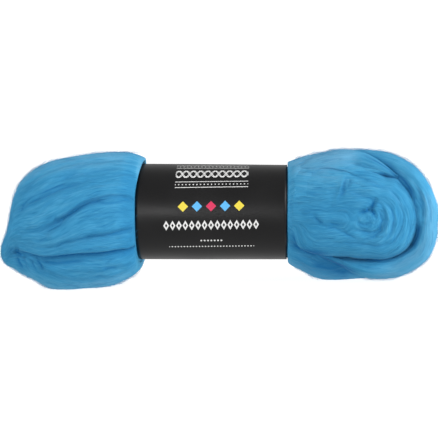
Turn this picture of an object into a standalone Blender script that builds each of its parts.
"""A hank of wool roving: one long soft sliver laid to and fro, coiled at one end,
and held at the waist by a paper band whose end is glued over its start.

The hank is drawn in its own frame, in millimetres: +X runs along the band's axis,
-Y is the front, +Z is up, and the middle of the band is the zero. It then lies down
on the ground plane z = 0, on a small flat under each of its two bundles.
"""

import math
from collections import namedtuple

import bmesh
import bpy
import numpy as np
from mathutils import Matrix, Vector

MM = 0.001

# Driving sizes, in millimetres and degrees
BAND_WIDTH = 99.0  # the short side of the printed strip, a third of an A4 sheet
STRIP_LENGTH = 210.0  # its long side, wrapped once round with what is left as the lap
BAND_RADIUS = (32.5, 31.9)  # outside radius at the left and the right edge
BAND_WALL = 1.0
GAP = 0.3  # between the band and the wool, and between the lap's two layers
LIE_TILT = 2.08  # how far the hank tips down to the right as it lies
AXIS_HEIGHT = 48.0  # of the band's middle above the ground
CENTRE = (-1.55, 0.8)  # moves the middle of the whole onto x = 0, y = 0

WAIST = tuple(radius - BAND_WALL - GAP for radius in BAND_RADIUS)
BAND_END = BAND_WIDTH / 2

# The body of the hank, a row for each section across it, from the left tip to the right end.
# x: place along the axis. over: how far the wool puffs back over the band's edge, at top and behind.
# top, under, front, back: its reach from the axis. fold: the share of the fold depth there.
# rings: how many mesh rings lead from this section to the next.
Section = namedtuple("Section", "x over top under front back fold rings")
SECTIONS = (
    Section(-144.4, 0.0, -27.0, -27.0, 5.0, -5.0, 0.0, 1),
    Section(-143.6, 0.0, -22.0, -32.4, 11.0, 5.0, 0.2, 1),
    Section(-141.0, 0.0, -15.5, -36.0, 17.0, 12.0, 0.5, 1),
    Section(-138.2, 0.0, -9.0, -38.0, 21.5, 17.5, 0.7, 1),
    Section(-136.2, 0.0, 0.0, -38.8, 24.0, 21.0, 0.8, 1),
    Section(-134.4, 0.0, 10.0, -40.0, 26.5, 24.5, 0.9, 2),
    Section(-129.6, 0.0, 21.4, -42.8, 31.5, 30.5, 1.0, 2),
    Section(-120.6, 0.0, 29.4, -46.9, 37.0, 37.0, 1.0, 2),
    Section(-109.0, 0.0, 34.6, -52.6, 41.5, 41.5, 1.0, 2),
    Section(-98.0, 0.0, 37.2, -53.4, 43.5, 43.5, 1.0, 3),
    Section(-84.0, 0.0, 39.6, -51.9, 44.5, 45.0, 1.0, 3),
    Section(-70.0, 0.0, 40.6, -50.0, 43.5, 44.5, 1.0, 2),
    Section(-60.0, 0.0, 40.6, -46.2, 41.0, 42.0, 1.0, 2),
    Section(-54.0, 1.5, 39.6, -42.8, 37.5, 39.5, 0.9, 1),
    Section(-50.7, 4.2, 37.4, -38.2, 35.0, 37.0, 0.4, 1),
    Section(-50.4, 3.4, 34.4, -34.4, 34.4, 34.4, 0.0, 1),
    Section(-50.1, 0.0, 34.2, -34.2, 34.2, 34.2, 0.0, 1),
    Section(-50.0, 0.0, WAIST[0], -WAIST[0], WAIST[0], WAIST[0], 0.0, 3),
    Section(50.0, 0.0, WAIST[1], -WAIST[1], WAIST[1], WAIST[1], 0.0, 1),
    Section(50.1, 0.0, 32.2, -32.2, 32.2, 32.2, 0.0, 1),
    Section(50.6, 0.8, 34.8, -34.2, 32.4, 35.0, 0.4, 1),
    Section(53.5, 0.4, 37.0, -36.6, 32.4, 38.0, 0.9, 2),
    Section(60.0, 0.0, 39.2, -40.0, 32.0, 41.5, 1.0, 2),
    Section(70.0, 0.0, 41.0, -45.0, 31.0, 43.5, 1.0, 3),
    Section(84.0, 0.0, 42.0, -47.4, 30.0, 45.0, 1.0, 3),
    Section(98.0, 0.0, 40.4, -46.2, 29.0, 44.5, 1.0, 3),
    Section(112.0, 0.0, 35.0, -40.0, 27.0, 41.0, 1.0, 2),
    Section(124.0, 0.0, 29.0, -33.0, 23.0, 35.0, 1.0, 2),
    Section(132.0, 0.0, 22.0, -25.0, 18.0, 28.0, 0.9, 1),
    Section(137.4, 0.0, 14.0, -17.5, 12.0, 20.0, 0.6, 1),
    Section(140.4, 0.0, 7.0, -10.5, 5.0, 11.0, 0.3, 1),
    Section(141.4, 0.0, -2.0, -2.0, -3.0, 3.0, 0.0, 0),
)

# The folds between neighbouring passes of the sliver, in order round the hank.
# Angles are degrees up from the front: 90 is the top, 180 the back and 270 the underside.
# left, right: the angles at LEFT_PLACES and RIGHT_PLACES. left_deep, right_deep: the depths there.
# below, above: how far the trough spreads to its two sides.
LEFT_PLACES = (-122.0, -108.0, -94.0, -78.0, -64.0, -50.0)
RIGHT_PLACES = (50.0, 92.0, 132.0)
Fold = namedtuple("Fold", "left left_deep right right_deep below above")
FOLDS = (
    Fold((-36, -40, -48, -55, -58, -60), (2.5, 3.6, 2.2, 1.4, 1.4, 1.2), (-58, -55, -40), 1.8, 10, 6),
    Fold((-25, -24, -23, -24, -26, -32), (4.6, 5.4, 5.6, 5.4, 5.2, 5.0), (-30, -28, -20), 1.0, 12, 5),
    Fold((-14, -13, -10, -8, -8, -9), (0.4, 1.4, 2.6, 3.2, 3.2, 2.8), (-12, -10, -5), 1.0, 8, 6),
    Fold((-3, 1, 8, 17, 19, 16), (0.6, 3.2, 4.8, 4.6, 3.4, 3.0), (12, 10, 8), 1.0, 9, 4),
    Fold((26, 31, 36, 36, 38, 41), (2.2, 2.4, 2.8, 3.2, 3.0, 3.0), (38, 34, 25), 1.0, 8, 5),
    Fold((50, 56, 61, 62, 62, 62), (1.0, 1.2, 1.4, 1.4, 1.4, 1.4), (60, 58, 48), 1.6, 9, 7),
    Fold((96, 94, 92, 90, 89, 88), (2.4, 2.4, 2.4, 2.4, 2.4, 2.4), (86, 82, 76), 2.2, 8, 10),
    Fold((130, 127, 123, 121, 119, 118), (3.2, 3.6, 3.6, 3.6, 3.6, 3.6), (116, 112, 108), 3.4, 7, 12),
    Fold((152, 150, 148, 147, 148, 148), (2.2, 2.2, 2.2, 2.2, 2.2, 2.2), (143, 147, 140), 4.0, 10, 8),
    Fold((170, 171, 172, 173, 175, 176), (3.2, 3.8, 3.8, 3.8, 3.8, 3.6), (172, 177, 168), 2.4, 12, 8),
    Fold((196, 199, 202, 203, 204, 204), (2.4, 2.4, 2.4, 2.4, 2.4, 2.4), (203, 206, 200), 3.6, 8, 10),
    Fold((222, 226, 228, 229, 228, 228), (2.4, 3.2, 3.2, 3.2, 3.2, 3.0), (228, 227, 228), 2.4, 9, 8),
    Fold((246, 248, 250, 251, 252, 252), (1.0, 1.2, 1.2, 1.2, 1.4, 1.4), (250, 249, 256), 1.4, 9, 9),
)
LOBE_STEPS = (0.0, 0.13, 0.32, 0.55, 0.78)  # mesh columns across the wool between two folds
FULLNESS = 0.25  # how much squarer than an ellipse the bundles are

# The coil: the sliver wound face-on at the front of the right bundle, a thick cushion of turns.
# turn: direction from its eye, 0 to the right and 90 up. reach: how far its rim is that way.
# rim: how far forward the rim lies. square: how steeply the cushion rolls over at that rim.
Coil = namedtuple("Coil", "turn reach rim square")
COIL = (
    Coil(1, 36.6, 16, 2.8),
    Coil(26, 35.6, 15, 2.8),
    Coil(49, 35.6, 14, 2.7),
    Coil(64, 31.4, 14, 2.7),
    Coil(80, 31.0, 13, 2.6),
    Coil(96, 34.0, 11, 2.4),
    Coil(114, 43.5, 5, 2.2),
    Coil(135, 55.8, 2, 2.15),
    Coil(152, 54.4, 13, 2.15),
    Coil(180, 48.3, 26, 2.15),
    Coil(203, 47.8, 27, 2.3),
    Coil(221, 38.0, 27, 2.5),
    Coil(235, 31.2, 26, 2.6),
    Coil(252, 27.8, 25, 2.7),
    Coil(274, 27.5, 23, 2.8),
    Coil(304, 32.4, 20, 2.8),
    Coil(330, 35.8, 18, 2.8),
)
COIL_EYE = (99.3, -1.5)
COIL_FRONT = 46.5  # how far forward of the axis its eye stands
COIL_GROOVES = (0.36, 0.68)  # where the grooves between its turns run, from the eye to the rim
COIL_DEEP = (2.2, 2.6)
COIL_STEPS = (0.14, 0.3, 0.5, 0.7, 0.86, 1.0)  # mesh rings across each turn of the sliver
COIL_CLIMB = 0.3  # how far a groove works outwards in one turn round the eye
COIL_SEAM = 185.0  # the side the turns come in from, where the grooves fade
COIL_COLUMNS, COIL_BACK_RINGS = 56, 5

# The last two passes, laid side by side round the right end from the top of the band to its foot.
# The front one goes round outside the coil, and its tail tapers off under it. Between its start
# and the coil lies one more pass, which comes over the top and dives in under the front one.
# x, y, z: the middle of the sliver. thick: half its thickness as seen. deep: half its depth.
Wrap = namedtuple("Wrap", "x y z thick deep")
FRONT_WRAP = (
    Wrap(56.0, -2.0, 25.0, 7.0, 9.0),
    Wrap(70.0, -3.5, 29.5, 8.6, 12.0),
    Wrap(84.0, -4.0, 32.0, 9.0, 14.0),
    Wrap(98.0, -3.0, 34.2, 9.2, 15.0),
    Wrap(110.8, -5.0, 33.2, 9.4, 17.0),
    Wrap(121.4, -9.0, 29.8, 9.4, 20.0),
    Wrap(129.6, -12.5, 24.2, 9.4, 21.5),
    Wrap(136.0, -13.0, 14.8, 9.4, 21.5),
    Wrap(139.0, -13.5, 2.2, 9.4, 21.0),
    Wrap(139.0, -13.5, -9.6, 9.4, 21.0),
    Wrap(136.2, -13.5, -20.6, 9.6, 20.5),
    Wrap(128.8, -13.5, -27.6, 9.8, 20.0),
    Wrap(118.0, -13.0, -32.4, 9.8, 20.0),
    Wrap(106.0, -12.5, -34.4, 8.8, 19.5),
    Wrap(96.0, -13.0, -33.4, 6.4, 18.5),
    Wrap(87.0, -15.0, -29.8, 4.4, 16.0),
    Wrap(78.0, -18.0, -26.6, 2.4, 12.0),
)
BACK_WRAP = (
    Wrap(56.0, 21.0, 20.0, 7.0, 9.0),
    Wrap(70.0, 21.0, 27.0, 9.0, 13.0),
    Wrap(86.0, 20.5, 31.0, 10.0, 16.0),
    Wrap(102.0, 20.0, 30.0, 10.0, 17.5),
    Wrap(116.0, 19.5, 25.0, 10.0, 18.0),
    Wrap(126.0, 19.0, 15.0, 10.0, 18.0),
    Wrap(130.5, 19.0, 2.0, 10.0, 18.0),
    Wrap(129.0, 19.0, -12.0, 10.0, 18.0),
    Wrap(121.0, 19.5, -23.0, 10.0, 17.5),
    Wrap(107.0, 20.0, -30.5, 10.0, 17.0),
    Wrap(90.0, 21.0, -33.5, 9.6, 16.0),
    Wrap(72.0, 22.0, -30.5, 8.6, 12.0),
    Wrap(57.0, 22.0, -21.0, 6.6, 9.0),
)
TOP_PASS = (
    Wrap(56.0, -8.0, 27.0, 6.0, 9.0),
    Wrap(68.0, -11.0, 32.0, 7.4, 13.0),
    Wrap(84.0, -14.0, 35.0, 8.2, 16.5),
    Wrap(94.0, -16.0, 35.2, 7.6, 17.5),
    Wrap(104.0, -18.0, 33.2, 6.0, 16.0),
    Wrap(113.0, -20.0, 29.8, 3.8, 13.5),
    Wrap(122.5, -22.5, 25.4, 1.2, 8.0),
)
WRAP_COLUMNS = 16


def eased(places, values, at):
    """values at the given places, joined by a smooth curve that never overshoots, read at `at`."""
    places = np.asarray(places, float)
    values = np.asarray(values, float)
    steps = np.diff(places)
    slopes = np.diff(values) / steps
    tangents = np.zeros(len(places))
    tangents[0], tangents[-1] = slopes[0], slopes[-1]
    same_way = slopes[:-1] * slopes[1:] > 0
    means = 2 * slopes[:-1] * slopes[1:] / np.where(same_way, slopes[:-1] + slopes[1:], 1)
    tangents[1:-1] = np.where(same_way, means, 0)
    i = int(np.clip(np.searchsorted(places, at, side="right") - 1, 0, len(places) - 2))
    t = (at - places[i]) / steps[i]
    return (
        values[i] * (1 + 2 * t) * (1 - t) ** 2
        + values[i + 1] * t * t * (3 - 2 * t)
        + steps[i] * (tangents[i] * t * (1 - t) ** 2 - tangents[i + 1] * t * t * (1 - t))
    )


def rings_of_the_body():
    """The body's sections with the in-between ones filled in, one for each mesh ring."""
    rings = []
    rows = np.arange(len(SECTIONS))
    for row, section in enumerate(SECTIONS):
        for step in range(max(1, section.rings)):
            at = row + step / max(1, section.rings)
            filled = {
                column: float(eased(rows, [getattr(s, column) for s in SECTIONS], at))
                for column in ("x", "over", "top", "under", "front", "back", "fold")
            }
            rings.append(Section(rings=0, **filled))
    return rings


def fold_at(fold, x):
    """A fold's angle and depth at a place along the hank."""
    if x < 0:
        at = min(max(x, LEFT_PLACES[0]), LEFT_PLACES[-1])
        return eased(LEFT_PLACES, fold.left, at), eased(LEFT_PLACES, fold.left_deep, at)
    at = min(max(x, RIGHT_PLACES[0]), RIGHT_PLACES[-1])
    return eased(RIGHT_PLACES, fold.right, at), fold.right_deep


def outline_point(ring, angle):
    """A point of a section's smooth outline, before the folds sink into it."""
    across, up = math.cos(math.radians(angle)), math.sin(math.radians(angle))
    power = 2 / (2 + FULLNESS * ring.fold)
    across = math.copysign(abs(across) ** power, across)
    up = math.copysign(abs(up) ** power, up)
    middle_y, middle_z = (ring.back - ring.front) / 2, (ring.top + ring.under) / 2
    y = middle_y - across * (ring.front + ring.back) / 2
    z = middle_z + up * (ring.top - ring.under) / 2
    behind = 0.5 - 0.5 * across
    puff = max(up, behind) ** 2
    return Vector((ring.x + math.copysign(ring.over * puff, -ring.x), y, z)), Vector((0, middle_y, middle_z))


def body_point(ring, folds, lobe, share):
    """A point between fold number `lobe` and the next one, `share` of the way across the wool there."""
    (low, low_deep), (high, high_deep) = folds[lobe], folds[(lobe + 1) % len(folds)]
    if lobe == len(folds) - 1:
        high += 360
    angle = low + share * (high - low)
    point, middle = outline_point(ring, angle)
    spoke = Vector((0, point.y - middle.y, point.z - middle.z))
    if spoke.length < 1e-6:
        return point
    per_degree = math.radians(1) * spoke.length
    from_low, from_high = (angle - low) * per_degree, (high - angle) * per_degree
    sink = low_deep * max(0, 1 - from_low / FOLDS[lobe].above) ** 2
    sink += high_deep * max(0, 1 - from_high / FOLDS[(lobe + 1) % len(FOLDS)].below) ** 2
    return point - spoke.normalized() * min(sink * ring.fold, 0.4 * spoke.length)


def shaped_sphere(name, columns, rings, place):
    """A globe of that many columns and rings, each point of it moved to place(ring, column)."""
    shape = bmesh.new()
    bmesh.ops.create_uvsphere(shape, u_segments=columns, v_segments=rings, radius=1.0)
    for vertex in shape.verts:
        ring = round(math.acos(max(-1, min(1, vertex.co.z))) / math.pi * rings)
        column = round(math.atan2(vertex.co.y, vertex.co.x) / (2 * math.pi) * columns) % columns
        vertex.co = place(ring, column)
    bmesh.ops.recalc_face_normals(shape, faces=shape.faces)
    mesh = bpy.data.meshes.new(name)
    shape.to_mesh(mesh)
    shape.free()
    return bpy.data.objects.new(name, mesh)


def make_body():
    """The passes of sliver through the band, with the folds between them, as one lofted body."""
    rings = rings_of_the_body()
    steps = len(LOBE_STEPS)
    folds_at = [[fold_at(fold, ring.x) for fold in FOLDS] for ring in rings]

    def place(ring, column):
        return body_point(rings[ring], folds_at[ring], column // steps, LOBE_STEPS[column % steps])

    return shaped_sphere("body", len(FOLDS) * steps, len(rings) - 1, place)


def coil_rings():
    """How far out each mesh ring of the coil's front lies, closest together at its rolled rim."""
    places = [0.0]
    for start, end in zip((0.0, *COIL_GROOVES), (*COIL_GROOVES, 0.93)):
        places += [start + step * (end - start) for step in COIL_STEPS]
    return places + [0.965, 0.988, 1.0]


def coil_point(ring, column):
    """A point of the coil: a cushion rolled over at its rim, with grooves between its turns."""
    turn = 360 * column / COIL_COLUMNS
    turns = [row.turn + lap for lap in (-360, 0, 360) for row in COIL]
    reach, rim, square = (
        float(eased(turns, [getattr(row, c) for row in COIL] * 3, turn)) for c in ("reach", "rim", "square")
    )
    rings = coil_rings()
    round_share = (turn - COIL_SEAM) % 360 / 360
    if ring < len(rings):
        climb = math.sin((round_share - 0.5) * math.pi) if 0 < round_share < 1 else 0.0
        climb *= min(1, 7 * min(round_share, 1 - round_share))
        out = rings[ring] + 0.5 * COIL_CLIMB * climb * math.sin(math.pi * rings[ring])
        forward = rim + (COIL_FRONT - rim) * max(0.0, 1 - out**square) ** (1 / square)
        fade = min(1, max(0, 6 * min(round_share, 1 - round_share) - 0.3))
        for groove, deep in zip(COIL_GROOVES, COIL_DEEP):
            off = abs(rings[ring] - groove) * reach
            forward -= deep * fade * max(0, 1 - off / 5.5) ** 2
    else:
        tip = math.pi / 2 * (1 - (ring - len(rings) + 1) / COIL_BACK_RINGS)
        out = math.sin(tip) ** (2 / square)
        forward = rim * math.sin(tip) - 2 * math.cos(tip)
    x = COIL_EYE[0] + out * reach * math.cos(math.radians(turn))
    z = COIL_EYE[1] + out * reach * math.sin(math.radians(turn))
    return Vector((x, -forward, z))


def make_wrap(name, table, rings=36):
    """A pass of sliver over the right bundle, an oval tube along its table."""
    places = np.arange(len(table))

    def at(place):
        return {c: float(eased(places, [getattr(w, c) for w in table], place)) for c in Wrap._fields}

    last = len(table) - 1

    def place(ring, column):
        share = 0.1 * (1 - math.cos(math.pi * ring / rings)) + 0.8 * ring / rings
        here = at(share * last)
        before, after = at(max(0, share * last - 0.05)), at(min(last, share * last + 0.05))
        way = Vector((after["x"] - before["x"], 0, after["z"] - before["z"])).normalized()
        outwards = Vector((-way.z, 0, way.x))
        turn = 2 * math.pi * column / WRAP_COLUMNS
        end = min(1, 8 * math.sin(math.pi * ring / rings)) ** 0.5
        return (
            Vector((here["x"], here["y"], here["z"]))
            + outwards * here["thick"] * end * math.cos(turn)
            + Vector((0, 1, 0)) * here["deep"] * end * math.sin(turn)
        )

    return shaped_sphere(name, WRAP_COLUMNS, rings, place)


def joined(name, main, *others):
    """One object: main with the others united to it, its modifiers applied."""
    for other in others:
        union = main.modifiers.new("join " + other.name, "BOOLEAN")
        union.operation = "UNION"
        union.object = other
    bpy.context.view_layer.update()
    evaluated = main.evaluated_get(bpy.context.evaluated_depsgraph_get())
    mesh = bpy.data.meshes.new_from_object(evaluated)
    mesh.name = name
    for used in (main, *others):
        bpy.data.objects.remove(used)
    return bpy.data.objects.new(name, mesh)


def fill_pockets(mesh):
    """Fills the pockets shut in between the passes, by keeping only the outermost skin."""
    shape = bmesh.new()
    shape.from_mesh(mesh)
    bmesh.ops.remove_doubles(shape, verts=shape.verts, dist=0.002)
    outermost = max(shape.verts, key=lambda vertex: vertex.co.z)
    skin, edge = {outermost}, [outermost]
    while edge:
        found = edge.pop()
        for near in (link.other_vert(found) for link in found.link_edges):
            if near not in skin:
                skin.add(near)
                edge.append(near)
    bmesh.ops.delete(shape, geom=[vertex for vertex in shape.verts if vertex not in skin], context="VERTS")
    shape.to_mesh(mesh)
    shape.free()


def lie_down(obj):
    """Moves a piece from the hank's frame to where it lies, in metres."""
    tilt = Matrix.Rotation(math.radians(LIE_TILT), 4, "Y")
    place = Matrix.Translation((*CENTRE, AXIS_HEIGHT))
    obj.data.transform(Matrix.Scale(MM, 4) @ place @ tilt)


def press_flat(obj):
    """What would sink below the ground is pressed level with it."""
    for vertex in obj.data.vertices:
        vertex.co.z = max(vertex.co.z, 0.0)


def finish_surface(colour, roughness):
    """A material of one plain colour."""
    material = bpy.data.materials.new("finish")
    material.use_nodes = True
    shader = material.node_tree.nodes["Principled BSDF"]
    shader.inputs["Base Color"].default_value = (*colour, 1.0)
    shader.inputs["Roughness"].default_value = roughness
    shader.inputs["Metallic"].default_value = 0.0
    return material


def make_roving(collection):
    """The whole hank of wool as one body, pressed flat where it rests."""
    body = make_body()
    coil = shaped_sphere("coil", COIL_COLUMNS, len(coil_rings()) - 1 + COIL_BACK_RINGS, coil_point)
    wraps = [make_wrap("back wrap", BACK_WRAP), make_wrap("front wrap", FRONT_WRAP)]
    wraps.append(make_wrap("top pass", TOP_PASS, rings=20))
    for part in (body, coil, *wraps):
        bpy.context.scene.collection.objects.link(part)
    roving = joined("roving", body, *wraps, coil)
    fill_pockets(roving.data)
    lie_down(roving)
    press_flat(roving)
    roving.data.materials.clear()
    roving.data.materials.append(finish_surface((0.06, 0.30, 0.58), 0.9))
    roving.data.shade_smooth()
    roving.data.set_sharp_from_angle(angle=math.radians(75))
    collection.objects.link(roving)


BAND_STEPS = 66
BAND_START = 168.0  # where the strip's inner end lies, in degrees up from the front
BAND_RAMP = 14.0  # over how many degrees the outer end climbs over the inner one


def band_point(length, along):
    """A point on the outside of the strip, `length` of the way round and `along` of its width."""
    radius = BAND_RADIUS[0] + along * (BAND_RADIUS[1] - BAND_RADIUS[0])
    swept = length * math.degrees(STRIP_LENGTH / (radius - BAND_WALL / 2))
    climb = min(1, max(0, (swept - 360 + BAND_RAMP) / (BAND_RAMP - 2)))
    lifted = radius + climb * climb * (3 - 2 * climb) * (BAND_WALL + GAP)
    angle = math.radians(BAND_START + swept)
    x = (along - 0.5) * BAND_WIDTH
    return Vector((x, -lifted * math.cos(angle), lifted * math.sin(angle)))


def make_band(collection):
    """The paper strip wrapped once round the waist, lapped over itself at the back."""
    shape = bmesh.new()
    bmesh.ops.create_grid(shape, x_segments=BAND_STEPS, y_segments=2, size=1.0)
    for vertex in shape.verts:
        vertex.co = band_point((vertex.co.x + 1) / 2, (vertex.co.y + 1) / 2)
    mesh = bpy.data.meshes.new("band")
    shape.to_mesh(mesh)
    shape.free()
    band = bpy.data.objects.new("band", mesh)
    lie_down(band)
    wall = band.modifiers.new("wall", "SOLIDIFY")
    wall.thickness = BAND_WALL * MM
    wall.offset = 1.0
    band.data.materials.append(finish_surface((0.012, 0.012, 0.013), 0.4))
    band.data.shade_smooth()
    band.data.set_sharp_from_angle(angle=math.radians(40))
    collection.objects.link(band)


def main():
    for obj in list(bpy.data.objects):
        bpy.data.objects.remove(obj)
    hank = bpy.data.collections.new("wool roving hank")
    bpy.context.scene.collection.children.link(hank)
    make_roving(hank)
    make_band(hank)


main()
